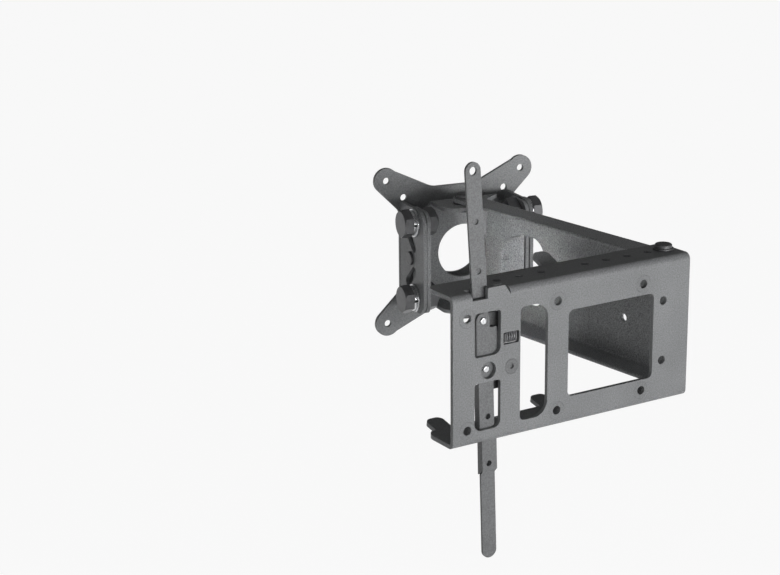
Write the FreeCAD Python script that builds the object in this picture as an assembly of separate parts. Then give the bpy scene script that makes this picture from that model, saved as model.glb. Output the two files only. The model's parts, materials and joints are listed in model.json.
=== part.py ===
import FreeCAD, Part
import math
import os

V = FreeCAD.Vector

# Sheet steel, millimetres and degrees throughout
sheet = 2.5
bend_inside = 1.5
bend_outside = bend_inside + sheet
edge_round = 1.0
shortest_edge = 1e-6
round_trim = 1e-4
diagonal = 45.0

# Wall plate: screw pattern centred on the origin, wall face on y = 0
plate_length = 167.0
plate_height = 88.0
plate_depth = 28.0
screw_pitch_x = 61.5
screw_pitch_z = 65.0
screw_hole_r = 2.6
screw_edge_x = 9.5
screw_edge_z = 9.7
plate_left = -screw_pitch_x - screw_edge_x
plate_right = plate_left + plate_length
plate_bottom = -screw_pitch_z / 2 - screw_edge_z
plate_top = plate_bottom + plate_height
mid_z = (plate_top + plate_bottom) / 2
corner_round = 9.0
extra_hole_edge = 19.5
extra_hole_half = 18.2

# Windows of the wall plate, each from the left end and the mid line
lever_window_from_left = 14.3
lever_window_width = 17.5
upper_window_low = 7.0
upper_window_high = 32.5
lower_window_low = -36.0
lower_window_high = -8.0
window_round = 2.0
lower_window_round = 4.5
narrow_window_from_left = 45.2
narrow_window_width = 19.0
narrow_window_low = -35.5
narrow_window_high = 31.5
narrow_round_left = 3.0
narrow_round_right = 9.0
wide_window_from_left = 78.6
wide_window_to_right = 26.5
wide_window_low = -27.7
wide_window_high = 24.0
wide_round = 3.5
flange_hole_pitch = 15.45
flange_hole_r = 2.4
flange_hole_from_left = 24.25
flange_hole_slots = (0, 1, 2, 3, 5, 6, 7, 8)

# Guide tongues bent up from the rear edges of both flanges
tongue_reach = 13.0
tongue_round = 4.0
tongue_rise = 11.0
tongue_width = 11.0
low_tongue_starts = (6.5, 79.5)
high_tongue_start = 79.5
high_tongue_rise = 22.0

# Pivots: riveted pins with washers between the nested flanges
pivot_edge = 7.5
pivot_y = 15.5
pivot_x = plate_right - pivot_edge
pivot_r = 3.2
running_fit = 0.06
pivot_head_r = 5.2
pivot_head_h = 2.4
pivot_head_round = 1.1
pivot_end_r = 4.8
pivot_end_h = 1.8
pivot_washer_r = 6.2
pivot_washer_h = 1.2
nylon_h = 0.9
nylon_r = 7.2
spacer_h = 2.9
slip_gap = 0.1
bolt_clearance = 0.1

# Arm: a deep channel that folds into the wall plate, open towards the wall
arm_length = 186.0
arm_lean = 5.0
arm_flange = 19.2
arm_web_out = 13.0
arm_high = plate_height / 2 - sheet - nylon_h
arm_low = sheet + spacer_h - plate_height / 2
arm_web_in = arm_web_out - sheet
arm_free = arm_web_out - arm_flange
arm_web_short = 11.0
arm_hole_at = 42.6
arm_hole_drop = 10.4
arm_hole_r = 2.6
arm_window_far = 139.5
arm_window_width = 22.6
arm_window_half = 23.2
arm_window_round_share = 0.53
striker_relief = 1.2
striker_round = 10.0
striker_gap = 0.6

# Lever: two riveted straps and a latch plate that turn on a flush stud
strap = 1.5
strap_gap = 0.3
strap_pitch = 28.25
strap_half = 5.5
strap_hole_r = 2.3
strap_small_hole_r = 1.75
strap_steps = 4
riveted_steps = 2
upper_lean = 3.85
lower_lean = 1.7
rivet_from_left = 23.6
rivet_above_mid = -1.4
lower_left = 4.8
lower_right = 5.1
lower_wide = 8.2
lower_wide_end = 3.0
lower_neck_r = 4.4
lower_neck_end = 23.5
lower_step_at = 36.0
lower_step_run = 5.0
lower_step = 1.3
lower_shoulder = 60.7
lower_tail_half = 4.7
lower_length = 114.2
lower_hole_shift = 0.9
lower_boss_r = 3.2
lower_boss_h = 2.2
lower_boss_floor = 0.6
fold_depth = 3.2
fold_start = 8.0
fold_slant = 2.0
rivet_r = 1.5
rivet_head_r = 2.1
rivet_head_h = 1.0
rivet_head_round = 0.7
rivet_window_r = 5.0
stud_from_left = 39.4
stud_below_mid = 2.0
stud_r = 3.0
stud_shoulder_r = 4.5
stud_face_r = 4.6
stud_cone = 1.2
stud_socket_r = 1.4
stud_socket_depth = 1.5
clip_r = 5.0
clip_h = 1.0
lever_swing_low = 2.0
lever_swing_high = 6.0
notch_margin = 0.5
notch_depth = 9.0
stop_tab_from_left = 23.0
stop_tab_width = 11.4
stop_tab_rise = 6.0
stop_tab_slope = 4.1
latch_left = 4.4
latch_drop = 6.6
latch_top = 3.0
latch_boss_r = 6.8
latch_hook_gap = 0.25
hook_rise = 9.0
hook_length = 7.5
hook_nose = 1.3
hook_nose_width = 2.8
hook_start = 4.4
hook_slot_margin = 1.1
spring_from_left = 36.0
spring_bridge = 0.9
spring_above_mid = 15.0
spring_r = 3.15
spring_wire = 0.45
spring_turns = 6
spring_face_gap = 0.4
spring_slot_gap = 0.35
lug_margin = 0.9
lug_half = 2.5
tray_below = 5.2
tray_above = 4.0
tray_past = 3.3

# Head: an inner bracket on the arm and a screen plate that tilts on it
head_turn = 9.36
head_offset = 6.8
screen_reach = 33.0
bracket_web_gap = 12.0
bracket_half_width = 37.5
bracket_flange_half = 24.5
bracket_front = 12.0
bracket_corner = 8.0
bracket_side_drop = 2.2
bracket_side_front = 9.0
bracket_hole_r = 18.5
relief_r = 7.0
relief_in = 6.5
relief_up = 3.0
side_gap = 0.5
screen_flange_reach = 42.6
screen_flange_margin = 0.5
screen_corner = 10.0
screen_half_height = 43.0
screen_flat_half = 16.0
screen_hole_r = 19.0
vesa_wide = 100.0
vesa_narrow = 75.0
vesa_hole_r = 2.4
ear_r = 8.8
ear_waist = 28.0
ear_fillet = 14.0
tilt_axis_reach = 21.0
tilt_swing = 8.0
tilt_pin_r = 3.0
tilt_pin_head_r = 4.6
tilt_pin_head_h = 1.6
tilt_bolt_reach = 27.5
tilt_bolt_edge = 9.0
tilt_bolt_r = 5.0
tilt_flats = 17.0
tilt_head_h = 6.4
tilt_nut_h = 8.0
tilt_washer_r = 9.5
tilt_washer_h = 1.6
spring_washer_r = 8.6
spring_washer_h = 2.2
spring_washer_split = 1.2
tilt_thread_end = 2.0
chevron_half = 3.5
chevron_outer_reach = 16.0
chevron_outer_rise = 17.5
chevron_inner_reach = 26.0
chevron_inner_rise = 8.5


def rounded_face(points, radii):
    """Flat face in the XY plane from corner points, each corner rounded by its own radius."""
    count = len(points)
    corners = [V(p[0], p[1], 0) for p in points]
    starts = []
    ends = []
    middles = []
    for i in range(count):
        corner = corners[i]
        back = (corners[i - 1] - corner).normalize()
        ahead = (corners[(i + 1) % count] - corner).normalize()
        half = back.getAngle(ahead) / 2
        reach = radii[i] / math.tan(half)
        bisector = (back + ahead).normalize()
        centre = corner + bisector * (radii[i] / math.sin(half))
        starts.append(corner + back * reach)
        ends.append(corner + ahead * reach)
        middles.append(centre - bisector * radii[i])
    edges = []
    for i in range(count):
        if radii[i] > 0:
            edges.append(Part.Arc(starts[i], middles[i], ends[i]).toShape())
        following = starts[(i + 1) % count]
        if (following - ends[i]).Length > shortest_edge:
            edges.append(Part.LineSegment(ends[i], following).toShape())
    return Part.Face(Part.Wire(edges))


def rectangle(low_u, low_v, high_u, high_v):
    """Corner points of an upright rectangle."""
    return [(low_u, low_v), (high_u, low_v), (high_u, high_v), (low_u, high_v)]


def upright_plate(face, near_y, thickness):
    """Drawing in X and Z, thickened along +Y from near_y."""
    solid = face.extrude(V(0, 0, thickness))
    solid.rotate(V(0, 0, 0), V(1, 0, 0), 90)
    solid.translate(V(0, near_y + thickness, 0))
    return solid


def level_plate(face, low_z, thickness):
    """Drawing in X and Y, thickened upwards from low_z."""
    solid = face.extrude(V(0, 0, thickness))
    solid.translate(V(0, 0, low_z))
    return solid


def side_plate(face, low_x, thickness):
    """Drawing in Y and Z, thickened along +X from low_x."""
    solid = face.extrude(V(0, 0, thickness))
    solid.rotate(V(0, 0, 0), V(1, 1, 1), 120)
    solid.translate(V(low_x, 0, 0))
    return solid


def block(low, high):
    """Box between two opposite corners."""
    size = [h - l for l, h in zip(low, high)]
    return Part.makeBox(size[0], size[1], size[2], V(*low))


def rod(r, base, top):
    """Round bar between two points."""
    along = V(*top) - V(*base)
    return Part.makeCylinder(r, along.Length, V(*base), along)


def ring(outer, inner, base, top):
    """Round washer between two points."""
    return rod(outer, base, top).cut(rod(inner, base, top))


def hexagon(flats, base, top):
    """Six-sided bar between two points with its corners eased."""
    along = V(*top) - V(*base)
    r = flats / math.sqrt(3)
    turns = [math.radians(60 * i) for i in range(7)]
    wire = Part.makePolygon([V(r * math.cos(a), r * math.sin(a), 0) for a in turns])
    bar = Part.Face(wire).extrude(V(0, 0, along.Length))
    bar = bar.common(Part.makeCone(flats / 2 + along.Length, flats / 2, along.Length))
    bar.Placement = FreeCAD.Placement(V(*base), FreeCAD.Rotation(V(0, 0, 1), along))
    return bar


def stadium(length, half):
    """Slot outline from the origin along +Y with round ends."""
    points = rectangle(-half, -half, half, length + half)
    return rounded_face(points, [half - round_trim] * 4)


def group(solids):
    """Separate solids kept together as one piece."""
    return Part.makeCompound(solids)


def domed_disc(r, height, round_r, base, direction):
    """Round head with its far rim rounded, standing on base along a direction."""
    disc = Part.makeCylinder(r, height)
    rim = [edge for edge in disc.Edges if edge.BoundBox.ZMin > height / 2]
    disc = disc.makeFillet(round_r, rim)
    disc.Placement = FreeCAD.Placement(V(*base), FreeCAD.Rotation(V(0, 0, 1), V(*direction)))
    return disc


def bolt(flats, head_h, r, head_base, shank_end):
    """Hex bolt with its head standing on head_base."""
    along = (V(*head_base) - V(*shank_end)).normalize()
    head_top = V(*head_base) + along * head_h
    return hexagon(flats, head_base, tuple(head_top)).fuse(rod(r, shank_end, head_base)).removeSplitter()


def nut(flats, height, r, base, direction):
    """Hex nut with a plain bore, from base along a direction."""
    top = V(*base) + V(*direction) * height
    return hexagon(flats, base, tuple(top)).cut(rod(r, base, tuple(top)))


# Places worked out from the sizes
lever_left = plate_left + lever_window_from_left
lever_right = lever_left + lever_window_width
narrow_left = plate_left + narrow_window_from_left
narrow_right = narrow_left + narrow_window_width
wide_left = plate_left + wide_window_from_left
wide_right = plate_right - wide_window_to_right
stud_x = plate_left + stud_from_left
stud_z = mid_z - stud_below_mid
lower_y = sheet + strap_gap
upper_y = lower_y + strap
latch_y = upper_y + strap
latch_back = latch_y + strap
rivet_low = (plate_left + rivet_from_left, mid_z + rivet_above_mid)
upper_rise = (-math.sin(math.radians(upper_lean)), math.cos(math.radians(upper_lean)))
rivet_high = (rivet_low[0] + strap_pitch * upper_rise[0], rivet_low[1] + strap_pitch * upper_rise[1])
head_x = pivot_x - arm_length * math.sin(math.radians(arm_lean))
head_y = pivot_y + arm_length * math.cos(math.radians(arm_lean))
bracket_high = arm_high - sheet - nylon_h
bracket_low = arm_low + sheet + nylon_h
bracket_side_half = bracket_high - bracket_side_drop
screen_flange_half = bracket_side_half + screen_flange_margin
tilt_bolt_rise = bracket_side_half - tilt_bolt_edge
spring_left = plate_left + spring_from_left
spring_right = narrow_left - spring_bridge
spring_z = mid_z + spring_above_mid
spring_y = spring_face_gap + spring_r
spring_slot_half = spring_r + spring_slot_gap
slot_left = spring_left - strap - lug_margin
strap_at_top = rivet_low[0] + (plate_top - rivet_low[1]) * upper_rise[0] / upper_rise[1]
swing_low = math.sin(math.radians(lever_swing_low))
swing_high = math.sin(math.radians(lever_swing_high))
notch_left = strap_at_top - strap_half - (plate_top - stud_z) * swing_low - notch_margin
stop_tab_left = plate_left + stop_tab_from_left
stop_tab_right = stop_tab_left + stop_tab_width
notch_right = stop_tab_right + stop_tab_slope
lower_slope = math.tan(math.radians(lower_lean))
strap_at_bottom = rivet_low[0] + (rivet_low[1] - plate_bottom) * lower_slope
bottom_reach = stud_z - plate_bottom
slot_low_x = strap_at_bottom - lower_left - bottom_reach * swing_high - notch_margin
slot_high_x = strap_at_bottom + lower_right + lower_step + bottom_reach * swing_low + notch_margin
striker_x = pivot_x - arm_window_far


def wall_plate():
    """Folded channel with its windows, screw holes, lever slots, guide tongues and flange holes."""
    section = [(0, plate_bottom), (plate_depth, plate_bottom), (plate_depth, plate_bottom + sheet),
               (sheet, plate_bottom + sheet), (sheet, plate_top - sheet), (plate_depth, plate_top - sheet),
               (plate_depth, plate_top), (0, plate_top)]
    half_radii = [bend_outside, edge_round, edge_round, bend_inside]
    body = side_plate(rounded_face(section, half_radii + half_radii[::-1]), plate_left, plate_length)
    plan = rectangle(plate_left, -edge_round, plate_right, plate_depth + edge_round)
    plan_face = rounded_face(plan, [0, 0, edge_round, corner_round])
    body = body.common(level_plate(plan_face, plate_bottom - edge_round, plate_height + 2 * edge_round))
    notch = block((notch_left, -edge_round, plate_top - bend_outside),
                  (notch_right, notch_depth, plate_top + edge_round))
    slot = block((slot_low_x, sheet, plate_bottom - edge_round),
                 (slot_high_x, upper_y + fold_depth + strap_gap, plate_bottom + bend_outside + edge_round))
    body = body.cut(notch.fuse(slot))
    return body.fuse(guide_tongues() + [stop_tab()]).cut(wall_plate_openings()).removeSplitter()


def guide_tongues():
    """Round-ended tongues on the rear edges of both flanges, each bent up a little."""
    places = [(start, plate_bottom, tongue_rise) for start in low_tongue_starts]
    places.append((high_tongue_start, plate_top - sheet, high_tongue_rise))
    tongues = []
    for start, low_z, rise in places:
        outline = rectangle(0, 0, tongue_width, tongue_reach)
        tongue = level_plate(rounded_face(outline, [0, 0, tongue_round, tongue_round]), 0, sheet)
        root = block((0, -sheet, 0), (tongue_width, 0, sheet))
        heel = rod(sheet, (0, 0, 0), (tongue_width, 0, 0)).common(
            block((0, -sheet, 0), (tongue_width, sheet, sheet)))
        tongue.rotate(V(0, 0, 0), V(1, 0, 0), rise)
        tongue = tongue.fuse([root, heel])
        tongue.translate(V(plate_left + start, plate_depth - edge_round, low_z))
        tongues.append(tongue)
    return tongues


def stop_tab():
    """Upright tab beside the lever's notch, sloping down on its right."""
    low = plate_top - bend_outside
    outline = [(stop_tab_left, low - sheet), (notch_right, low - sheet), (notch_right, low),
               (stop_tab_right, low + stop_tab_rise), (stop_tab_left, low + stop_tab_rise)]
    return upright_plate(rounded_face(outline, [0, 0, 0, edge_round, edge_round]), 0, sheet)


def wall_plate_openings():
    """Every window and hole of the wall plate, as one cutting body."""
    through = sheet + 2 * edge_round
    faces = [
        rounded_face(rectangle(lever_left, mid_z + upper_window_low, lever_right, mid_z + upper_window_high),
                     [window_round, lower_window_round, window_round, window_round]),
        rounded_face(rectangle(lever_left, mid_z + lower_window_low, lever_right, mid_z + lower_window_high),
                     [lower_window_round, lower_window_round, window_round, window_round]),
        rounded_face(rectangle(narrow_left, mid_z + narrow_window_low,
                               narrow_right, mid_z + narrow_window_high),
                     [narrow_round_left, narrow_round_right, narrow_round_right, narrow_round_left]),
        rounded_face(rectangle(wide_left, mid_z + wide_window_low, wide_right, mid_z + wide_window_high),
                     [wide_round] * 4),
        rounded_face(rectangle(slot_left, spring_z - spring_slot_half,
                               spring_right, spring_z + spring_slot_half),
                     [edge_round] * 4)]
    cutters = [upright_plate(face, -edge_round, through) for face in faces]
    holes = [(column * screw_pitch_x, row * screw_pitch_z / 2) for column in (-1, 0, 1) for row in (-1, 1)]
    extra_x = plate_right - extra_hole_edge
    holes += [(extra_x, mid_z - extra_hole_half), (extra_x, mid_z + extra_hole_half)]
    cutters += [rod(screw_hole_r, (x, -edge_round, z), (x, through, z)) for x, z in holes]
    cutters.append(rod(rivet_window_r, (rivet_low[0], -edge_round, rivet_low[1]),
                       (rivet_low[0], through, rivet_low[1])))
    cutters.append(rod(stud_r + running_fit, (stud_x, -edge_round, stud_z), (stud_x, through, stud_z)))
    cutters.append(Part.makeCone(stud_face_r + running_fit, stud_r + running_fit, stud_cone,
                                 V(stud_x, 0, stud_z), V(0, 1, 0)))
    for slot in flange_hole_slots:
        x = plate_left + flange_hole_from_left + slot * flange_hole_pitch
        cutters.append(rod(flange_hole_r, (x, pivot_y, plate_bottom - sheet),
                           (x, pivot_y, plate_top + sheet)))
    cutters.append(rod(pivot_r + bolt_clearance, (pivot_x, pivot_y, plate_bottom - sheet),
                       (pivot_x, pivot_y, plate_top + sheet)))
    return group(cutters)


def arm_in_place(shape):
    """Turn and move a shape from the arm's own frame to its place in the photo's pose."""
    shape.rotate(V(0, 0, 0), V(0, 0, 1), arm_lean)
    shape.translate(V(pivot_x, pivot_y, mid_z))
    return shape


def arm_channel():
    """Channel with round flange ends, a latch window with its bent striker and a cable hole."""
    end_r = arm_flange / 2
    outline = rectangle(arm_free, -end_r, arm_web_out, arm_length + end_r)
    plan = rounded_face(outline, [end_r - round_trim] * 4)
    web_end = arm_length - arm_web_short
    section = [(arm_free, arm_low), (arm_web_out, arm_low), (arm_web_out, arm_high), (arm_free, arm_high),
               (arm_free, arm_high - sheet), (arm_web_in, arm_high - sheet), (arm_web_in, arm_low + sheet),
               (arm_free, arm_low + sheet)]
    radii = [edge_round, bend_outside, bend_outside, edge_round]
    radii += [edge_round, bend_inside, bend_inside, edge_round]
    body = upright_plate(rounded_face(section, radii), 0, web_end)
    far = arm_length + arm_flange
    for low in (arm_low, arm_high - sheet):
        past_web = block((arm_free, web_end, low), (arm_web_out, far, low + sheet))
        before_web = block((arm_free, -arm_flange, low), (arm_web_out, 0, low + sheet))
        body = body.fuse([past_web, before_web])
    body = body.common(level_plate(plan, arm_low - edge_round, arm_high - arm_low + 2 * edge_round))
    window = rectangle(arm_window_far - arm_window_width, -arm_window_half, arm_window_far, arm_window_half)
    near_round = arm_window_round_share * arm_window_width
    window_radii = [near_round, edge_round, edge_round, near_round]
    cutters = [side_plate(rounded_face(window, window_radii), arm_web_in - sheet, 3 * sheet)]
    cutters.append(rod(arm_hole_r, (arm_web_in - sheet, arm_hole_at, -arm_hole_drop),
                       (arm_web_out + sheet, arm_hole_at, -arm_hole_drop)))
    for y in (0, arm_length):
        cutters.append(rod(pivot_r + running_fit, (0, y, arm_low - sheet), (0, y, arm_high + sheet)))
    body = body.cut(group(cutters))
    return arm_in_place(body.fuse(striker()).removeSplitter())


def striker():
    """Tab bent from the latch window, with a slot that the latch hook enters when the arm is folded."""
    tip = latch_back + rivet_head_h + striker_gap - pivot_y
    half = arm_window_half - striker_relief
    outline = rectangle(tip, -half, arm_web_out, half)
    tab = rounded_face(outline, [striker_round, 0, 0, striker_round])
    slot_start = latch_back + hook_start - hook_slot_margin - pivot_y
    slot_end = latch_back + hook_start + hook_nose_width + hook_slot_margin - pivot_y
    slot = rectangle(slot_start, hook_rise - hook_slot_margin, slot_end, hook_rise + strap + hook_slot_margin)
    tab = tab.cut(rounded_face(slot, [edge_round] * 4))
    return upright_plate(tab, arm_window_far, sheet)


def upper_strap():
    """Straight release strap with round ends and evenly spaced holes."""
    body = upright_plate(stadium(strap_steps * strap_pitch, strap_half), upper_y, strap)
    for step in range(strap_steps + 1):
        r = strap_hole_r if step == strap_steps else strap_small_hole_r
        r = rivet_r + bolt_clearance if step < riveted_steps else r
        z = step * strap_pitch
        body = body.cut(rod(r, (0, upper_y - strap, z), (0, upper_y + 2 * strap, z)))
    body.rotate(V(0, 0, 0), V(0, 1, 0), -upper_lean)
    body.translate(V(rivet_low[0], 0, rivet_low[1]))
    return body


def lower_strap():
    """Pull strap with a round neck, a wide body, a side fold below the plate and a straight tail."""
    lean = math.radians(lower_lean)
    high_u = (rivet_high[0] - rivet_low[0]) * math.cos(lean) + (rivet_high[1] - rivet_low[1]) * math.sin(lean)
    high_v = (rivet_high[1] - rivet_low[1]) * math.cos(lean) - (rivet_high[0] - rivet_low[0]) * math.sin(lean)
    neck_left = high_u - lower_neck_r
    neck_right = high_u + lower_neck_r
    neck_top = high_v + lower_neck_r
    fold_left = lower_step - lower_left
    fold_right = lower_step + lower_right
    step_low = -lower_step_at - lower_step_run
    tail_top = -lower_shoulder - strap
    points = [(neck_left, neck_top), (neck_left, lower_wide_end), (-lower_left, 0),
              (-lower_left, -lower_step_at), (fold_left, step_low), (fold_left, -lower_shoulder),
              (-lower_tail_half, tail_top), (-lower_tail_half, -lower_length),
              (lower_tail_half, -lower_length), (lower_tail_half, tail_top),
              (fold_right, -lower_shoulder), (fold_right, step_low), (lower_right, -lower_step_at),
              (lower_right, -lower_wide_end), (lower_wide, lower_wide_end), (lower_wide, lower_neck_end),
              (neck_right, lower_neck_end), (neck_right, neck_top)]
    neck_round = lower_neck_r - round_trim
    tail_round = lower_tail_half - round_trim
    radii = [neck_round] + [0] * 6 + [tail_round] * 2 + [0] * 6 + [edge_round] * 2 + [neck_round]
    body = upright_plate(rounded_face(points, radii), lower_y, strap)
    body = body.fuse([side_fold(-lower_left, -fold_start, -lower_step_at),
                      side_fold(fold_left, step_low, -lower_shoulder)])
    for u, v in ((0, 0), (high_u, high_v)):
        body = body.cut(rod(rivet_r + bolt_clearance, (u, lower_y - strap, v), (u, lower_y + 2 * strap, v)))
    for step in (1, 2):
        u = lower_hole_shift
        v = -step * strap_pitch
        boss_end = upper_y + lower_boss_h
        body = body.fuse(rod(lower_boss_r, (u, lower_y, v), (u, boss_end, v)))
        body = body.cut(rod(strap_small_hole_r, (u, lower_y - strap, v), (u, boss_end - lower_boss_floor, v)))
    body = body.removeSplitter()
    body.rotate(V(0, 0, 0), V(0, 1, 0), -lower_lean)
    body.translate(V(rivet_low[0], 0, rivet_low[1]))
    return body


def side_fold(left, high, low):
    """Edge of the pull strap folded back, with both its ends slanting."""
    back = lower_y + strap + fold_depth
    outline = [(lower_y, low), (back, low + fold_slant), (back, high - fold_slant), (lower_y, high)]
    return side_plate(rounded_face(outline, [0] * len(outline)), left, strap)


def latch_plate():
    """Plate behind the straps with a pivot eye, a hook for the striker, a spring lug and a spring tray."""
    left = rivet_low[0] - latch_left
    right = spring_left - strap
    foot = stud_z - latch_boss_r
    low = foot - latch_drop
    high = rivet_high[1] + latch_top
    step = stud_z + latch_boss_r
    body_points = [(left, foot), (rivet_low[0], foot), (rivet_low[0], low), (stud_x, low), (stud_x, step),
                   (right, step), (right, high), (left, high)]
    body_radii = [edge_round, 0, edge_round, edge_round, 0, edge_round, strap, strap]
    body = upright_plate(rounded_face(body_points, body_radii), latch_y, strap)
    body = body.fuse(rod(latch_boss_r, (stud_x, latch_y, stud_z), (stud_x, latch_back, stud_z)))
    lug_low = spring_z - lug_half
    lug_high = spring_z + lug_half
    tray_y = spring_y + spring_r + strap_gap
    tray_back = tray_y + strap
    lug = block((spring_left - strap, spring_face_gap, lug_low), (spring_left, tray_back, lug_high))
    tray = block((spring_left - strap, tray_y, spring_z - tray_below),
                 (spring_right + tray_past, tray_back, spring_z + tray_above))
    body = body.fuse([lug, tray, latch_hook()])
    for x, z in (rivet_low, rivet_high):
        body = body.cut(rod(rivet_r + bolt_clearance, (x, latch_y - strap, z), (x, latch_back + strap, z)))
    eye = rod(stud_r + running_fit, (stud_x, latch_y - strap, stud_z), (stud_x, latch_back + strap, stud_z))
    return body.cut(eye).removeSplitter()


def latch_hook():
    """Level ear bent back from the latch plate, with a nose that faces the striker of the folded arm."""
    nose = striker_x + latch_hook_gap
    neck = nose + hook_nose
    end = latch_back + hook_start + hook_nose_width
    outline = [(neck, latch_y), (neck + hook_length, latch_y), (neck + hook_length, end), (nose, end),
               (nose, latch_back + hook_start), (neck, latch_back + hook_start)]
    radii = [0, 0, strap, edge_round, edge_round / 2, 0]
    return level_plate(rounded_face(outline, radii), mid_z + hook_rise, strap)


def strap_rivets():
    """Two domed rivets that hold the straps and the latch plate together."""
    solids = []
    for x, z in (rivet_low, rivet_high):
        shank = rod(rivet_r, (x, lower_y, z), (x, latch_back, z))
        front = domed_disc(rivet_head_r, rivet_head_h, rivet_head_round, (x, lower_y, z), (0, -1, 0))
        back = domed_disc(rivet_head_r, rivet_head_h, rivet_head_round, (x, latch_back, z), (0, 1, 0))
        solids.append(shank.fuse([front, back]).removeSplitter())
    return group(solids)


def pivot_stud():
    """Flush stud: a cone seated in the plate, a shoulder behind it and a journal for the latch plate."""
    end = latch_back + slip_gap + clip_h + slip_gap
    cone = Part.makeCone(stud_face_r, stud_r, stud_cone, V(stud_x, 0, stud_z), V(0, 1, 0))
    shank = rod(stud_r, (stud_x, 0, stud_z), (stud_x, end, stud_z))
    shoulder = rod(stud_shoulder_r, (stud_x, sheet, stud_z), (stud_x, latch_y - slip_gap, stud_z))
    socket = rod(stud_socket_r, (stud_x, 0, stud_z), (stud_x, stud_socket_depth, stud_z))
    return cone.fuse([shank, shoulder]).cut(socket).removeSplitter()


def stud_clip():
    """Push-on ring that keeps the latch plate on its stud."""
    start = latch_back + slip_gap
    return ring(clip_r, stud_r, (stud_x, start, stud_z), (stud_x, start + clip_h, stud_z))


def latch_spring():
    """Coil spring lying across the plate between the bridge and the latch lug."""
    length = spring_right - spring_left
    coil_r = spring_r - spring_wire
    free = length - 2 * spring_wire
    helix = Part.makeHelix(free / spring_turns, free, coil_r)
    start = Part.Wire(Part.makeCircle(spring_wire, V(coil_r, 0, 0), V(0, 1, 0)))
    coil = Part.Wire(helix.Edges).makePipeShell([start], True, True)
    coil.rotate(V(0, 0, 0), V(0, 1, 0), 90)
    coil.translate(V(spring_left + spring_wire, spring_y, spring_z))
    return coil


class PivotStack:
    """Heights, from the mid line, of the faces at one pivot's upper and lower joint of two nested flanges."""

    def __init__(self, x, y, outer, gap_high, gap_low, inner):
        self.x = x
        self.y = y
        self.outer = outer
        self.gaps = (gap_high, gap_low)
        self.inner = inner

    def point(self, height):
        return (self.x, self.y, mid_z + height)

    def ends(self):
        """Direction outwards, outer seat and inner seat of the upper and the lower joint."""
        return ((1, self.outer[1], self.inner[1]), (-1, self.outer[0], self.inner[0]))

    def rivets(self):
        """Pivot pins with a domed head outside and a formed end inside."""
        solids = []
        for side, seat, stop in self.ends():
            head_base = seat + side * pivot_washer_h
            end_base = stop - side * (slip_gap + pivot_washer_h)
            shank = rod(pivot_r, self.point(end_base), self.point(head_base))
            head = domed_disc(pivot_head_r, pivot_head_h, pivot_head_round, self.point(head_base),
                              (0, 0, side))
            end = domed_disc(pivot_end_r, pivot_end_h, pivot_head_round, self.point(end_base),
                             (0, 0, -side))
            solids.append(shank.fuse([head, end]).removeSplitter())
        return group(solids)

    def outer_washers(self):
        """Steel washers under the heads."""
        solids = []
        for side, seat, stop in self.ends():
            top = seat + side * pivot_washer_h
            solids.append(ring(pivot_washer_r, pivot_r, self.point(seat), self.point(top)))
        return group(solids)

    def inner_washers(self):
        """Steel washers under the formed ends."""
        solids = []
        for side, seat, stop in self.ends():
            start = stop - side * slip_gap
            end = start - side * pivot_washer_h
            solids.append(ring(pivot_washer_r, pivot_r, self.point(start), self.point(end)))
        return group(solids)

    def spacers(self):
        """Nylon washers that fill the gaps between the nested flanges."""
        return group([ring(nylon_r, pivot_r, self.point(low), self.point(high)) for low, high in self.gaps])


def head_in_place(shape):
    """Turn and move a shape from the head's own frame to its place in the photo's pose."""
    shape.rotate(V(0, 0, 0), V(0, 0, 1), -head_turn)
    shape.translate(V(head_x, head_y, mid_z))
    return shape


# Head frame: x across, y towards the screen, origin on the arm's far pivot
screen_front = screen_reach - sheet
bracket_back = screen_front - bracket_web_gap
bracket_face = bracket_back - sheet
tilt_y = screen_reach - tilt_axis_reach
bolt_y = screen_reach - tilt_bolt_reach
screen_inner = bracket_half_width + side_gap
screen_outer = screen_inner + sheet


def head_bracket():
    """Folded bracket: web with a round opening, pivot flanges above and below, tilt flanges at the sides."""
    sides = [(-bracket_half_width, -bracket_side_front), (-bracket_half_width, bracket_back),
             (bracket_half_width, bracket_back), (bracket_half_width, -bracket_side_front),
             (bracket_half_width - sheet, -bracket_side_front), (bracket_half_width - sheet, bracket_face),
             (sheet - bracket_half_width, bracket_face), (sheet - bracket_half_width, -bracket_side_front)]
    side_radii = [0, bend_outside, bend_outside, 0, 0, bend_inside, bend_inside, 0]
    body = level_plate(rounded_face(sides, side_radii), -bracket_side_half, 2 * bracket_side_half)
    outline = rectangle(-bracket_side_front, -bracket_side_half, bracket_back + sheet, bracket_side_half)
    flange_round = screen_corner - sheet
    shape = side_plate(rounded_face(outline, [flange_round, edge_round, edge_round, flange_round]),
                       -2 * bracket_half_width, 4 * bracket_half_width)
    body = body.common(shape)
    for across in (-1, 1):
        for up in (-1, 1):
            x = across * (bracket_flange_half + relief_in)
            z = up * (bracket_side_half + relief_up)
            body = body.cut(rod(relief_r, (x, bracket_face - sheet, z), (x, bracket_back + sheet, z)))
    body = body.fuse(pivot_flanges())
    body = body.cut(rod(bracket_hole_r, (0, bracket_face - sheet, 0), (0, bracket_back + sheet, 0)))
    body.translate(V(head_offset, 0, 0))
    body = body.cut(rod(pivot_r + running_fit, (0, 0, bracket_low - sheet), (0, 0, bracket_high + sheet)))
    body = body.cut(group(tilt_holes(bracket_half_width, tilt_pin_r)))
    return head_in_place(body.removeSplitter())


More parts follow.
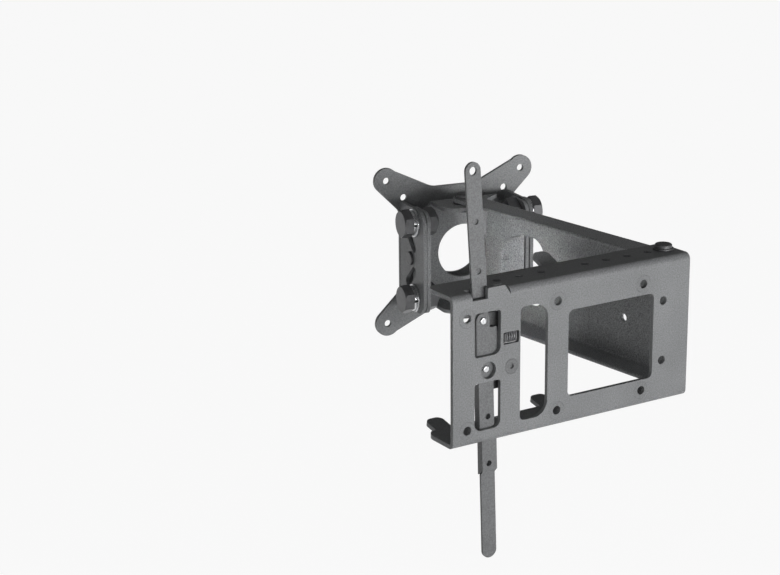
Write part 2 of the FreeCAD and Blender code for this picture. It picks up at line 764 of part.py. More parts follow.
def pivot_flanges():
    """Web strip with the two level flanges that carry the bracket on the arm."""
    section = [(-2 * bracket_front, bracket_high), (bracket_back, bracket_high), (bracket_back, bracket_low),
               (-2 * bracket_front, bracket_low), (-2 * bracket_front, bracket_low + sheet),
               (bracket_face, bracket_low + sheet), (bracket_face, bracket_high - sheet),
               (-2 * bracket_front, bracket_high - sheet)]
    radii = [0, bend_outside, bend_outside, 0, 0, bend_inside, bend_inside, 0]
    solid = side_plate(rounded_face(section, radii), -bracket_flange_half, 2 * bracket_flange_half)
    root = bracket_face - bend_inside
    plan = [(-bracket_flange_half, bracket_back + edge_round), (-bracket_flange_half, -bracket_front),
            (bracket_front - head_offset, -bracket_front), (bracket_front - head_offset, 0),
            (bracket_flange_half, root), (bracket_flange_half, bracket_back + edge_round)]
    radii = [0, bracket_corner, bracket_front - round_trim, edge_round, edge_round, 0]
    height = bracket_high - bracket_low
    return solid.common(level_plate(rounded_face(plan, radii), 2 * bracket_low, 2 * height))


def tilt_holes(reach, pin_hole_r):
    """Cutting bodies through both side flanges for the tilt pins and the tilt bolts."""
    left = head_offset - 2 * reach
    right = head_offset + 2 * reach
    cutters = [rod(pin_hole_r, (left, tilt_y, 0), (right, tilt_y, 0))]
    for up in (-1, 1):
        z = up * tilt_bolt_rise
        cutters.append(rod(tilt_bolt_r + bolt_clearance, (left, bolt_y, z), (right, bolt_y, z)))
    return cutters


def tilt_slot(up):
    """Cutting body for the arc slots that let the screen plate tilt past one pair of bolts."""
    radius = math.hypot(tilt_bolt_rise, tilt_y - bolt_y)
    middle = math.degrees(math.atan2(up * tilt_bolt_rise, bolt_y - tilt_y))
    half_width = tilt_bolt_r + bolt_clearance

    def at(r, degrees):
        return V(r * math.cos(math.radians(degrees)), r * math.sin(math.radians(degrees)), 0)

    def cap(degrees, side):
        start = at(radius + side * half_width, degrees)
        tip = at(radius, degrees) + at(half_width, degrees + side * 90)
        end = at(radius - side * half_width, degrees)
        return Part.Arc(start, tip, end).toShape()

    first = middle - tilt_swing
    last = middle + tilt_swing
    edges = []
    for r, ends in ((radius + half_width, (first, last)), (radius - half_width, (last, first))):
        edges.append(Part.Arc(at(r, ends[0]), at(r, middle), at(r, ends[1])).toShape())
        edges.append(cap(ends[1], 1 if r > radius else -1))
    slot = side_plate(Part.Face(Part.Wire(edges)), -2 * screen_outer, 4 * screen_outer)
    slot.translate(V(0, tilt_y, 0))
    return slot


def screen_plate():
    """Screen plate with four eared corners and two side flanges that carry it on the tilt bracket."""
    front = screen_reach - screen_flange_reach
    section = [(-screen_outer, front), (-screen_outer, screen_reach), (screen_outer, screen_reach),
               (screen_outer, front), (screen_inner, front), (screen_inner, screen_front),
               (-screen_inner, screen_front), (-screen_inner, front)]
    radii = [0, bend_outside, bend_outside, 0, 0, bend_inside, bend_inside, 0]
    body = level_plate(rounded_face(section, radii), -screen_flange_half, 2 * screen_flange_half)
    outline = rectangle(front, -screen_flange_half, screen_reach + sheet, screen_flange_half)
    shape = side_plate(rounded_face(outline, [screen_corner, edge_round, edge_round, screen_corner]),
                       -2 * screen_outer, 4 * screen_outer)
    body = body.common(shape).fuse(eared_sheet())
    span = 2 * screen_outer
    cutters = [rod(tilt_pin_r + running_fit, (-span, tilt_y, 0), (span, tilt_y, 0))]
    for up in (-1, 1):
        cutters.append(tilt_slot(up))
        cutters.append(chevron_slot(up))
    cutters.append(rod(screen_hole_r, (0, screen_front - sheet, 0), (0, screen_reach + sheet, 0)))
    for spacing in (vesa_wide, vesa_narrow):
        for across in (-1, 1):
            for up in (-1, 1):
                x = across * spacing / 2
                z = up * spacing / 2
                cutters.append(rod(vesa_hole_r, (x, screen_front - sheet, z), (x, screen_reach + sheet, z)))
    body = body.cut(group(cutters)).removeSplitter()
    body.translate(V(head_offset, 0, 0))
    return head_in_place(body)


def chevron_slot(up):
    """Slanting slot through both side flanges, one arm of the chevron."""
    outer = V(0, screen_reach - chevron_outer_reach, up * chevron_outer_rise)
    inner = V(0, screen_reach - chevron_inner_reach, up * chevron_inner_rise)
    along = inner - outer
    slot = stadium(along.Length, chevron_half).extrude(V(0, 0, 4 * screen_outer))
    turn = FreeCAD.Rotation(V(0, 0, 0), along, V(1, 0, 0), "ZYX")
    slot.Placement = FreeCAD.Placement(outer - V(2 * screen_outer, 0, 0), turn)
    return slot


def eared_sheet():
    """Flat sheet with four ears: straight sides, waists and round ends."""
    half = vesa_wide / 2
    lean = ear_r / math.sqrt(2)
    quarter = [(screen_flat_half, screen_half_height), (half - lean, half + lean),
               (half + ear_r, half + ear_r), (half + lean, half - lean), (screen_outer, ear_waist)]
    radii = [ear_fillet, 0, 0, 0, ear_fillet / 2]
    points = []
    rounds = []
    for across, up in ((1, 1), (1, -1), (-1, -1), (-1, 1)):
        corner = [(across * x, up * z) for x, z in quarter]
        order = 1 if across * up > 0 else -1
        points += corner[::order]
        rounds += radii[::order]
    body = upright_plate(rounded_face(points, rounds), screen_front, sheet)
    for across in (-1, 1):
        for up in (-1, 1):
            x = across * half
            z = up * half
            tip = rod(ear_r, (x, screen_front, z), (x, screen_reach, z))
            tip_square = block((-ear_r, screen_front, 0), (ear_r, screen_reach, 2 * ear_r))
            tip_square.rotate(V(0, 0, 0), V(0, 1, 0), diagonal if up > 0 else 180 - diagonal)
            tip_square = tip_square if across > 0 else tip_square.mirror(V(0, 0, 0), V(1, 0, 0))
            tip_square.translate(V(x, 0, z))
            body = body.cut(tip_square).fuse(tip)
    return body.removeSplitter()


def four_bolts(make):
    """Pieces at the four tilt bolts, from make(side, height) in the head's frame."""
    solids = []
    for side in (-1, 1):
        for up in (-1, 1):
            solid = make(side, up * tilt_bolt_rise)
            solid.translate(V(head_offset, 0, 0))
            solids.append(head_in_place(solid))
    return group(solids)


flat_at = screen_outer
split_at = flat_at + tilt_washer_h
head_at = split_at + spring_washer_h
nut_at = bracket_half_width - sheet - slip_gap
shank_at = nut_at - tilt_nut_h - tilt_thread_end


def tilt_bolts():
    """Four large hex bolts that clamp the tilt."""
    def make(side, z):
        return bolt(tilt_flats, tilt_head_h, tilt_bolt_r, (side * head_at, bolt_y, z),
                    (side * shank_at, bolt_y, z))
    return four_bolts(make)


def tilt_flat_washers():
    """Flat washers on the outside of the side flanges."""
    def make(side, z):
        return ring(tilt_washer_r, tilt_bolt_r, (side * flat_at, bolt_y, z), (side * split_at, bolt_y, z))
    return four_bolts(make)


def tilt_spring_washers():
    """Split spring washers under the bolt heads."""
    def make(side, z):
        washer = ring(spring_washer_r, tilt_bolt_r, (side * split_at, bolt_y, z), (side * head_at, bolt_y, z))
        low_x = min(side * split_at, side * head_at)
        gap = block((low_x, bolt_y - spring_washer_r, z - spring_washer_split / 2),
                    (low_x + spring_washer_h, bolt_y, z + spring_washer_split / 2))
        return washer.cut(gap)
    return four_bolts(make)


def tilt_nylon_washers():
    """Thin washers between the side flanges and the bracket."""
    def make(side, z):
        return ring(tilt_washer_r, tilt_bolt_r, (side * bracket_half_width, bolt_y, z),
                    (side * screen_inner, bolt_y, z))
    return four_bolts(make)


def tilt_nuts():
    """Nuts on the inside of the bracket."""
    def make(side, z):
        return nut(tilt_flats, tilt_nut_h, tilt_bolt_r, (side * nut_at, bolt_y, z), (-side, 0, 0))
    return four_bolts(make)


def tilt_pins():
    """Riveted pins that the screen plate tilts on."""
    solids = []
    for side in (-1, 1):
        inner = bracket_half_width - sheet
        outer = screen_outer + slip_gap
        shank = rod(tilt_pin_r, (side * inner, tilt_y, 0), (side * outer, tilt_y, 0))
        head = domed_disc(tilt_pin_head_r, tilt_pin_head_h, rivet_head_round,
                          (side * outer, tilt_y, 0), (side, 0, 0))
        pin = shank.fuse(head).removeSplitter()
        pin.translate(V(head_offset, 0, 0))
        solids.append(head_in_place(pin))
    return group(solids)


plate_half = plate_height / 2
wall_pivot = PivotStack(pivot_x, pivot_y, (-plate_half, plate_half), (arm_high, plate_half - sheet),
                        (sheet - plate_half, arm_low), (arm_low + sheet, arm_high - sheet))
head_pivot = PivotStack(head_x, head_y, (arm_low, arm_high), (bracket_high, arm_high - sheet),
                        (arm_low + sheet, bracket_low), (bracket_low + sheet, bracket_high - sheet))
nodes = {
    "wall_plate": wall_plate(),
    "arm_channel": arm_channel(),
    "head_bracket": head_bracket(),
    "screen_plate": screen_plate(),
    "upper_strap": upper_strap(),
    "lower_strap": lower_strap(),
    "latch_plate": latch_plate(),
    "strap_rivets": strap_rivets(),
    "pivot_stud": pivot_stud(),
    "stud_clip": stud_clip(),
    "latch_spring": latch_spring(),
    "wall_pivot_rivets": wall_pivot.rivets(),
    "wall_pivot_washers": wall_pivot.outer_washers(),
    "wall_pivot_nylon_washers": wall_pivot.spacers(),
    "wall_pivot_inner_washers": wall_pivot.inner_washers(),
    "head_pivot_rivets": head_pivot.rivets(),
    "head_pivot_washers": head_pivot.outer_washers(),
    "head_pivot_nylon_washers": head_pivot.spacers(),
    "head_pivot_inner_washers": head_pivot.inner_washers(),
    "tilt_bolts": tilt_bolts(),
    "tilt_flat_washers": tilt_flat_washers(),
    "tilt_spring_washers": tilt_spring_washers(),
    "tilt_nylon_washers": tilt_nylon_washers(),
    "tilt_nuts": tilt_nuts(),
    "tilt_pins": tilt_pins(),
}

os.makedirs("parts", exist_ok=True)
for name, shape in nodes.items():
    shape.exportStep("parts/" + name + ".step")
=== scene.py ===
"""Coat, bright hardware, small parts and a photo stage for a folding screen mount."""
import json
import math

import bmesh
import bpy
from bpy.props import FloatProperty, FloatVectorProperty, IntProperty, PointerProperty
from mathutils import Matrix, Vector
from mathutils.geometry import intersect_point_line

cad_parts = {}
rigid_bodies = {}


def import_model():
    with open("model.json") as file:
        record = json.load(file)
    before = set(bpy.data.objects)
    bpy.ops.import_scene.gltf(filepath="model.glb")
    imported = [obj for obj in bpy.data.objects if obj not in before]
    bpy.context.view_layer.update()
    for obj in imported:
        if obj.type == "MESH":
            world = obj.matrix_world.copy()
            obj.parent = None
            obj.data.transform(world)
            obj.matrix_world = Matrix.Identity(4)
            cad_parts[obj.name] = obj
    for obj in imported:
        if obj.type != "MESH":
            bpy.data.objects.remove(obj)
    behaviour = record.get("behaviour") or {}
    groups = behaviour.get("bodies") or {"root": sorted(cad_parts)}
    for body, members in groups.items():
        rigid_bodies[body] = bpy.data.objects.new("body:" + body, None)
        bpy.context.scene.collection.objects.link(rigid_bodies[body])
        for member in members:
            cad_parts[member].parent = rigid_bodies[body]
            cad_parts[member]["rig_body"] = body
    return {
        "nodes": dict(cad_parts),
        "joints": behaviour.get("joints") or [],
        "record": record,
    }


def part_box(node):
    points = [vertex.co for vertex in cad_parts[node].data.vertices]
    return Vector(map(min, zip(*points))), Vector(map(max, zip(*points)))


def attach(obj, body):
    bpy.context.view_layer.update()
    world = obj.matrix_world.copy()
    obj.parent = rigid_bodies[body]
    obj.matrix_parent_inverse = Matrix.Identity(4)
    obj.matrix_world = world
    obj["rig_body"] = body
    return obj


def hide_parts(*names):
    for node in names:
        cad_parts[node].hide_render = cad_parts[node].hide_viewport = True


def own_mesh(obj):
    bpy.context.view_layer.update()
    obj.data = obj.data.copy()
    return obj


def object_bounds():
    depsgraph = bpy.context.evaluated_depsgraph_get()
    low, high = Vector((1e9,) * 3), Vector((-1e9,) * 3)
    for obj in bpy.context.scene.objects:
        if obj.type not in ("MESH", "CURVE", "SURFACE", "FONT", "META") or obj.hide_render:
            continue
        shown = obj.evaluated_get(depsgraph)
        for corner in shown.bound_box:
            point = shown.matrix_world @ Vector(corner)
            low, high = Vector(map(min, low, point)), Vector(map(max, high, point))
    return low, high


for leftover in list(bpy.data.objects):
    bpy.data.objects.remove(leftover)

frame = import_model()
cad_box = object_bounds()

bl_info = {
    "name": "Folding Screen Mount",
    "version": (1, 0, 0),
    "blender": (4, 5, 0),
    "location": "View3D > Sidebar > Mount",
    "description": "Powder coat, hardware and stage for a folding screen mount",
    "category": "Object",
}

# Places read from the frame
joints = {joint["name"]: joint for joint in frame["joints"]}
mounts = {mount["name"]: mount for mount in frame["record"]["mounts"]}
across_head = Vector(joints["head_tilt"]["axis"]).normalized()
tilt_point = Vector(joints["head_tilt"]["pos_m"])
spring_low, spring_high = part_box("latch_spring")
screw_pattern = mounts["wall_screws"]["dims"]

# Sizes of the solids, in metres
strap_half = 0.0055
strap_holes = 0.004
pivot_eye = 0.01

# How near points lie that count as one point, as one bolt's tip and as one corner of the fold
merge_gap = 1e-6
tip_gap = 1e-5
fold_corner = 0.0003

# Rounded edges: angle under which faces are one flat, angle over which an edge is sharp
flat_angle = math.radians(0.5)
sharp_angle = math.radians(28)
round_segments = 2
face_weight = 100

# Coils: steps in a turn, sides of the wire, and the thread's place and its pitch over its ridge radius
coil_steps = 36
spring_sides = 12
thread_sides = 6
thread_inset = 0.0003
pitch_over_ridge = 2.6

# Looks: range that noise mostly keeps to, places in it of pits, coat and grains, rims of a pressed ring
noise_range = (0.3, 0.7)
grain_stops = (0.34, 0.5, 0.68)
ring_inside = 0.9
ring_outside = 1.06
ring_depth = 0.0004
mix_first, mix_second, mix_result = 6, 7, 2

# Stage: floor, camera, and each lamp's size, place and target
floor_drop = 0.0005
floor_half = 12.0
floor_glow = 0.93
sensor_width = 36.0
nearest_view = 0.01
lamps = {
    "key_light": ((1.1, 0.2), (0.2, -1.25, 0.0), (0.05, 0.0, 0.0)),
    "side_light": ((0.6, 0.6), (-1.1, -0.75, 0.25), (0.05, 0.1, 0.0)),
    "top_light": ((0.9, 0.9), (0.35, 0.35, 1.2), (0.05, 0.1, 0.0)),
    "arm_light": ((0.05, 0.05), (-0.9, -0.45, 0.15), (0.075, 0.15, 0.01)),
}


class MountCoatSettings(bpy.types.PropertyGroup):
    """Powder coat of the folded sheets and the lever."""
    colour: FloatVectorProperty(
        name="Coat colour", description="Main grey of the powder coat", subtype="COLOR", size=3,
        min=0.0, max=1.0, default=(0.208, 0.213, 0.218))
    # Light grain is partly the coat's speckle and partly a painted highlight on the raised grains; dark
    # grain is partly speckle and partly painted shade in the pits
    grain_tone_and_highlight: FloatVectorProperty(
        name="Light grain", description="Colour of the raised grains that catch light", subtype="COLOR",
        size=3, min=0.0, max=1.0, default=(0.262, 0.268, 0.274))
    pit_tone_and_shade: FloatVectorProperty(
        name="Dark grain", description="Colour of the pits between the grains", subtype="COLOR",
        size=3, min=0.0, max=1.0, default=(0.158, 0.162, 0.166))
    grain: FloatProperty(
        name="Grain size", description="Width of one grain of the coat", unit="LENGTH", min=0.0001,
        precision=5, default=0.0008)
    grain_depth: FloatProperty(
        name="Grain depth", description="Height of the grain", unit="LENGTH", min=0.0, precision=5,
        default=0.00012)
    roughness: FloatProperty(
        name="Roughness", description="Middle roughness of the coat", subtype="FACTOR", min=0.0, max=1.0,
        default=0.46)
    edge_round: FloatProperty(
        name="Edge round", description="Radius on the cut edges of the sheets", unit="LENGTH", min=0.0,
        precision=5, default=0.00035)
    arm_end_room: FloatProperty(
        name="Arm end room",
        description="Draws in the arm's round ends, which turn close to the plate's bend",
        unit="LENGTH", min=0.0, precision=5, default=0.0001)
    strap_slim: FloatProperty(
        name="Strap slimming", description="Draws in the outline of the upper strap all round",
        unit="LENGTH", min=0.0, precision=5, default=0.0006)
    fold_run: FloatProperty(
        name="Fold run", description="Lowers the back corner of the lower strap's fold towards the tail",
        unit="LENGTH", min=0.0, precision=5, default=0.005)
    dimple: FloatProperty(
        name="Dimple radius", description="Radius of the pressed ring round a screw hole", unit="LENGTH",
        min=0.0, precision=4, default=0.0054)


class MountHardwareSettings(bpy.types.PropertyGroup):
    """Rivets, bolts, washers and spring."""
    zinc: FloatVectorProperty(
        name="Zinc", description="Colour of the bright zinc", subtype="COLOR", size=3, min=0.0, max=1.0,
        default=(0.66, 0.67, 0.68))
    black_steel: FloatVectorProperty(
        name="Black steel", description="Colour of the blackened bolts and pins", subtype="COLOR", size=3,
        min=0.0, max=1.0, default=(0.13, 0.131, 0.136))
    nylon: FloatVectorProperty(
        name="Nylon", description="Colour of the nylon washers", subtype="COLOR", size=3, min=0.0, max=1.0,
        default=(0.03, 0.03, 0.032))
    edge_round: FloatProperty(
        name="Edge round", description="Radius on the edges of bolts and washers", unit="LENGTH", min=0.0,
        precision=5, default=0.0003)
    thread_pitch: FloatProperty(
        name="Thread pitch", description="Rise of the bolt thread in one turn", unit="LENGTH", min=0.0002,
        precision=5, default=0.0009)
    thread_radius: FloatProperty(
        name="Thread radius", description="Radius at which the thread ridge runs", unit="LENGTH",
        min=0.001, precision=5, default=0.00495)
    thread_turns: FloatProperty(
        name="Thread turns", description="Turns of thread that stand out of the nut", min=0.5, default=1.8)
    spring_turns: IntProperty(
        name="Spring turns", description="Turns of the latch spring", min=2, default=5)
    spring_wire: FloatProperty(
        name="Spring wire", description="Radius of the spring's wire", unit="LENGTH", min=0.0001,
        precision=5, default=0.0004)


class MountStageSettings(bpy.types.PropertyGroup):
    """Floor, light and camera."""
    floor: FloatVectorProperty(
        name="Floor colour", description="Pale colour of the floor", subtype="COLOR", size=3, min=0.0,
        max=1.0, default=(0.95, 0.95, 0.95))
    key_power: FloatProperty(
        name="Key light", description="Power of the large light in front", unit="POWER", min=0.0,
        default=13.2)
    side_power: FloatProperty(
        name="Side light", description="Power of the light at the left", unit="POWER", min=0.0, default=1.1)
    arm_power: FloatProperty(
        name="Arm light", description="Power of the narrow light on the arm's web", unit="POWER", min=0.0,
        default=0.011)
    arm_spread: FloatProperty(
        name="Arm light spread", description="Width of the narrow light's beam", subtype="ANGLE", min=0.0,
        default=math.radians(6.0))
    top_power: FloatProperty(
        name="Top light", description="Power of the light above", unit="POWER", min=0.0, default=0.1)
    world: FloatProperty(
        name="Room light", description="Strength of the even light of the room", min=0.0, default=0.12)
    focal_length: FloatProperty(
        name="Focal length", description="Focal length of the camera", unit="CAMERA", min=1.0,
        default=85.79)
    camera_place: FloatVectorProperty(
        name="Camera place", description="Place of the camera", subtype="TRANSLATION", unit="LENGTH",
        size=3, default=(-0.6057, -0.7991, 0.3309))
    yaw: FloatProperty(
        name="Yaw", description="Turn of the view to the right of the plate's own", subtype="ANGLE",
        default=math.radians(31.77))
    pitch: FloatProperty(
        name="Pitch", description="Downward look of the camera", subtype="ANGLE",
        default=math.radians(16.17))
    roll: FloatProperty(
        name="Roll", description="Lean of the camera", subtype="ANGLE", default=math.radians(-0.63))


def add_node(tree, kind, **values):
    """New shader or geometry node with its plain settings."""
    node = tree.nodes.new(kind)
    for name, value in values.items():
        setattr(node, name, value)
    return node


def new_material(name):
    """Material with its node tree and its shader."""
    material = bpy.data.materials.new(name)
    material.use_nodes = True
    return material, material.node_tree, material.node_tree.nodes["Principled BSDF"]


def noise(tree, coordinates, scale, detail, roughness=0.55):
    """Noise on Object coordinates."""
    texture = add_node(tree, "ShaderNodeTexNoise")
    texture.inputs["Scale"].default_value = scale
    texture.inputs["Detail"].default_value = detail
    texture.inputs["Roughness"].default_value = roughness
    tree.links.new(coordinates, texture.inputs["Vector"])
    return texture.outputs["Fac"]


def ramp(tree, factor, stops):
    """Colour ramp from (place, colour) stops."""
    node = add_node(tree, "ShaderNodeValToRGB")
    points = node.color_ramp.elements
    while len(points) < len(stops):
        points.new(0.5)
    for point, (place, colour) in zip(points, stops):
        point.position = place
        point.color = (*colour, 1.0)
    tree.links.new(factor, node.inputs["Fac"])
    return node.outputs["Color"]


def spread(tree, value, low, high, to_low, to_high, smooth=False):
    """Value spread from one range to another and held at its ends."""
    node = add_node(tree, "ShaderNodeMapRange")
    node.interpolation_type = "SMOOTHSTEP" if smooth else "LINEAR"
    node.inputs["From Min"].default_value = low
    node.inputs["From Max"].default_value = high
    node.inputs["To Min"].default_value = to_low
    node.inputs["To Max"].default_value = to_high
    tree.links.new(value, node.inputs["Value"])
    return node.outputs["Result"]


def maths(tree, operation, first, second=None, third=None):
    """One step of arithmetic on sockets or numbers."""
    node = add_node(tree, "ShaderNodeMath", operation=operation)
    for socket, value in zip(node.inputs, (first, second, third)):
        if isinstance(value, bpy.types.NodeSocket):
            tree.links.new(value, socket)
        elif value is not None:
            socket.default_value = value
    return node.outputs["Value"]


def bump(tree, height, distance, strength, under=None):
    """Bump from a height, on top of an earlier one."""
    node = add_node(tree, "ShaderNodeBump")
    node.inputs["Strength"].default_value = strength
    node.inputs["Distance"].default_value = distance
    tree.links.new(height, node.inputs["Height"])
    if under is not None:
        tree.links.new(under, node.inputs["Normal"])
    return node.outputs["Normal"]


def tinted(tree, colour, factor, low, high):
    """Colour made darker or lighter by a noise."""
    shade = spread(tree, factor, *noise_range, low, high)
    node = add_node(tree, "ShaderNodeMix", data_type="RGBA", blend_type="MULTIPLY")
    node.inputs["Factor"].default_value = 1.0
    tree.links.new(colour, node.inputs[mix_first])
    tree.links.new(shade, node.inputs[mix_second])
    return node.outputs[mix_result]


def scaled(colour, share):
    """Colour with every part multiplied by a share."""
    return [share * part for part in colour]


def screw_dimples(tree, coordinates, radius):
    """Height round the plate's six screw holes, low inside each pressed ring; also darkens the coat inside
    each ring as painted shade.
    """
    split = add_node(tree, "ShaderNodeSeparateXYZ")
    tree.links.new(coordinates, split.inputs["Vector"])
    half_pitch = screw_pattern["spacing_x_mm"] / 4000
    row = screw_pattern["spacing_y_mm"] / 2000
    along = maths(tree, "WRAP", split.outputs["X"], half_pitch, -half_pitch)
    up = maths(tree, "SUBTRACT", maths(tree, "ABSOLUTE", split.outputs["Z"]), row)
    squares = maths(tree, "ADD", maths(tree, "MULTIPLY", along, along), maths(tree, "MULTIPLY", up, up))
    away = maths(tree, "SQRT", squares)
    return spread(tree, away, radius * ring_inside, radius * ring_outside, 0.0, 1.0, smooth=True)


def powder_coat(name, shade=1.0, speckle=1.0, dimpled=False):
    """Fine textured powder coat; shade sets one piece lighter or darker than another, on some pieces as
    painted light or painted shadow, and speckle sets the grain contrast.
    """
    coat = bpy.context.scene.mount_coat
    material, tree, shader = new_material(name)
    coordinates = add_node(tree, "ShaderNodeTexCoord").outputs["Object"]
    grain = noise(tree, coordinates, scale=1 / coat.grain, detail=3.0, roughness=0.6)
    fine = noise(tree, coordinates, scale=2.6 / coat.grain, detail=2.0, roughness=0.5)
    broad = noise(tree, coordinates, scale=22.0, detail=3.0)
    colours = []
    # The grain colours follow the same noise as the bump: raised grains get a painted highlight and pits
    # painted shade, partly real speckle
    for place, grain_colour in zip(grain_stops, (coat.pit_tone_and_shade, coat.colour, coat.grain_tone_and_highlight)):
        mixed = [main + speckle * (part - main) for main, part in zip(coat.colour, grain_colour)]
        colours.append((place, scaled(mixed, shade)))
    colour = tinted(tree, ramp(tree, grain, colours), broad, low=0.9, high=1.1)
    normal = bump(tree, grain, coat.grain_depth, strength=0.45)
    normal = bump(tree, fine, coat.grain_depth / 2, strength=0.35, under=normal)
    if dimpled:
        ring = screw_dimples(tree, coordinates, coat.dimple)
        # Inside each pressed ring the coat is darkened as painted shade
        colour = tinted(tree, colour, ring, low=0.93, high=1.0)
        normal = bump(tree, ring, ring_depth, strength=0.7, under=normal)
    rough = spread(tree, fine, *noise_range, coat.roughness - 0.08, coat.roughness + 0.1)
    tree.links.new(colour, shader.inputs["Base Color"])
    tree.links.new(rough, shader.inputs["Roughness"])
    tree.links.new(normal, shader.inputs["Normal"])
    shader.inputs["Metallic"].default_value = 0.0
    shader.inputs["Specular IOR Level"].default_value = 0.42
    return material


def plated_steel(name, colour, metallic, rough_low, rough_high):
    """Plated or blackened steel with faint brushing and cloudy stains."""
    material, tree, shader = new_material(name)
    coordinates = add_node(tree, "ShaderNodeTexCoord").outputs["Object"]
    brushed = add_node(tree, "ShaderNodeMapping")
    brushed.inputs["Scale"].default_value = (1.0, 1.0, 0.12)
    tree.links.new(coordinates, brushed.inputs["Vector"])
    streaks = noise(tree, brushed.outputs["Vector"], scale=2600.0, detail=3.0, roughness=0.6)
    clouds = noise(tree, coordinates, scale=260.0, detail=3.0)
    shades = [(0.35, scaled(colour, 0.82)), (0.62, list(colour))]
    tone = tinted(tree, ramp(tree, clouds, shades), streaks, low=0.9, high=1.06)
    tree.links.new(tone, shader.inputs["Base Color"])
    tree.links.new(spread(tree, streaks, *noise_range, rough_low, rough_high), shader.inputs["Roughness"])
    tree.links.new(bump(tree, streaks, distance=0.00008, strength=0.3), shader.inputs["Normal"])
    shader.inputs["Metallic"].default_value = metallic
    return material


def moulded_nylon(name, colour):
    """Smooth black nylon with a faint mottle."""
    material, tree, shader = new_material(name)
    coordinates = add_node(tree, "ShaderNodeTexCoord").outputs["Object"]
    mottle = noise(tree, coordinates, scale=700.0, detail=3.0)
    shades = [(0.35, scaled(colour, 0.7)), (0.65, scaled(colour, 1.3))]
    rough = spread(tree, mottle, *noise_range, to_low=0.38, to_high=0.52)
    tree.links.new(ramp(tree, mottle, shades), shader.inputs["Base Color"])
    tree.links.new(rough, shader.inputs["Roughness"])
    tree.links.new(bump(tree, mottle, distance=0.00005, strength=0.25), shader.inputs["Normal"])
    return material


def finish(name):
    """Material of one finish, built on its first use."""
    if name in bpy.data.materials and "mount_finish" in bpy.data.materials[name]:
        return bpy.data.materials[name]
    hardware = bpy.context.scene.mount_hardware
    zinc, black = hardware.zinc, hardware.black_steel
    makers = {
        "plate_finish": lambda: powder_coat(name, shade=1.0, dimpled=True),
        # The arm's coat is made lighter, with stronger grain contrast, as painted light on the web inside
        # the channel
        "arm_coat_with_painted_light": lambda: powder_coat(name, shade=1.6, speckle=2.0),
        # The head bracket's and screen plate's coats are made lighter as painted light, since the wall
        # plate keeps much of the lamps' light off the head
        "bracket_coat_with_painted_light": lambda: powder_coat(name, shade=1.4, speckle=1.3),
        "screen_coat_with_painted_light": lambda: powder_coat(name, shade=1.22),
        "strap_finish": lambda: powder_coat(name, shade=0.73),
        # The latch plate's coat is made dark as painted shadow, for the shade in the gaps behind the
        # plate's windows
        "latch_coat_with_painted_shadow": lambda: powder_coat(name, shade=0.4),
        "zinc_finish": lambda: plated_steel(name, zinc, metallic=1.0, rough_low=0.2, rough_high=0.36),
        "black_finish": lambda: plated_steel(name, black, metallic=0.35, rough_low=0.32, rough_high=0.46),
        "pin_finish": lambda: plated_steel(
            name, scaled(black, 0.85), metallic=0.3, rough_low=0.34, rough_high=0.48),
        "spring_finish": lambda: plated_steel(
            name, scaled(black, 2.0), metallic=0.3, rough_low=0.34, rough_high=0.46),
        "nylon_finish": lambda: moulded_nylon(name, hardware.nylon),
    }
    material = makers[name]()
    material["mount_finish"] = True
    return material


def rounded_piece(node, edge_round, finish_name):
    """Copy of a CAD node, merged and with its sharp edges rounded, in the node's own place."""
    source = frame["nodes"][node]
    shell = bmesh.new()
    shell.from_mesh(source.data)
    bmesh.ops.remove_doubles(shell, verts=shell.verts, dist=merge_gap)
    bmesh.ops.dissolve_limit(shell, angle_limit=flat_angle, verts=shell.verts, edges=shell.edges)
    for face in shell.faces:
        face.smooth = True
    mesh = bpy.data.meshes.new(node + "_rounded")
    shell.to_mesh(mesh)
    shell.free()
    piece = bpy.data.objects.new(node + "_rounded", mesh)
    bpy.context.scene.collection.objects.link(piece)
    mesh.materials.append(finish(finish_name))
    rounding = piece.modifiers.new("rounded_edges", "BEVEL")
    rounding.width = edge_round
    rounding.segments = round_segments
    rounding.limit_method = "ANGLE"
    rounding.angle_limit = sharp_angle
    rounding.use_clamp_overlap = True
    shading = piece.modifiers.new("even_shading", "WEIGHTED_NORMAL")
    shading.mode = "FACE_AREA"
    shading.weight = face_weight
    shading.keep_sharp = True
    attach(piece, source["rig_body"])
    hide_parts(node)
    return piece


def slimmer(strap, cut):
    """Draw in the outline of a round-ended strap; its holes stay."""
    points = [vertex.co for vertex in strap.data.vertices]
    top = max(points, key=lambda point: point.z).copy()
    foot = min(points, key=lambda point: point.z).copy()
    top.z -= strap_half
    foot.z += strap_half
    for point in points:
        nearest, share = intersect_point_line(point, foot, top)
        if not 0 <= share <= 1:
            nearest = top if share > 1 else foot
        off = Vector((point.x - nearest.x, 0.0, point.z - nearest.z))
        if off.length > strap_holes:
            point -= off.normalized() * cut


def longer_fold(strap, run):
    """Lower the back corner of a folded edge, so that the fold runs on to the tail."""
    points = [vertex.co for vertex in strap.data.vertices]
    back = max(point.y for point in points)
    corners = [point for point in points if back - point.y < fold_corner]
    low = min(point.z for point in corners)
    for point in corners:
        if point.z - low < fold_corner:
            point.z -= run


def coat_node(node, finish_name):
    """Give a CAD node its finish."""
    frame["nodes"][node].material_slots[0].material = finish(finish_name)


def geometry_tree(name, inputs):
    """Geometry Nodes tree with named inputs; returns the tree, its input node and its output node."""
    tree = bpy.data.node_groups.new(name, "GeometryNodeTree")
    for label, kind, value in inputs:
        socket = tree.interface.new_socket(label, in_out="INPUT", socket_type=kind)
        if value is not None:
            socket.default_value = value
    tree.interface.new_socket("Geometry", in_out="OUTPUT", socket_type="NodeSocketGeometry")
    return tree, add_node(tree, "NodeGroupInput"), add_node(tree, "NodeGroupOutput")


def join(tree, *pairs):
    """Links between sockets."""
    for start, end in pairs:
        tree.links.new(start, end)


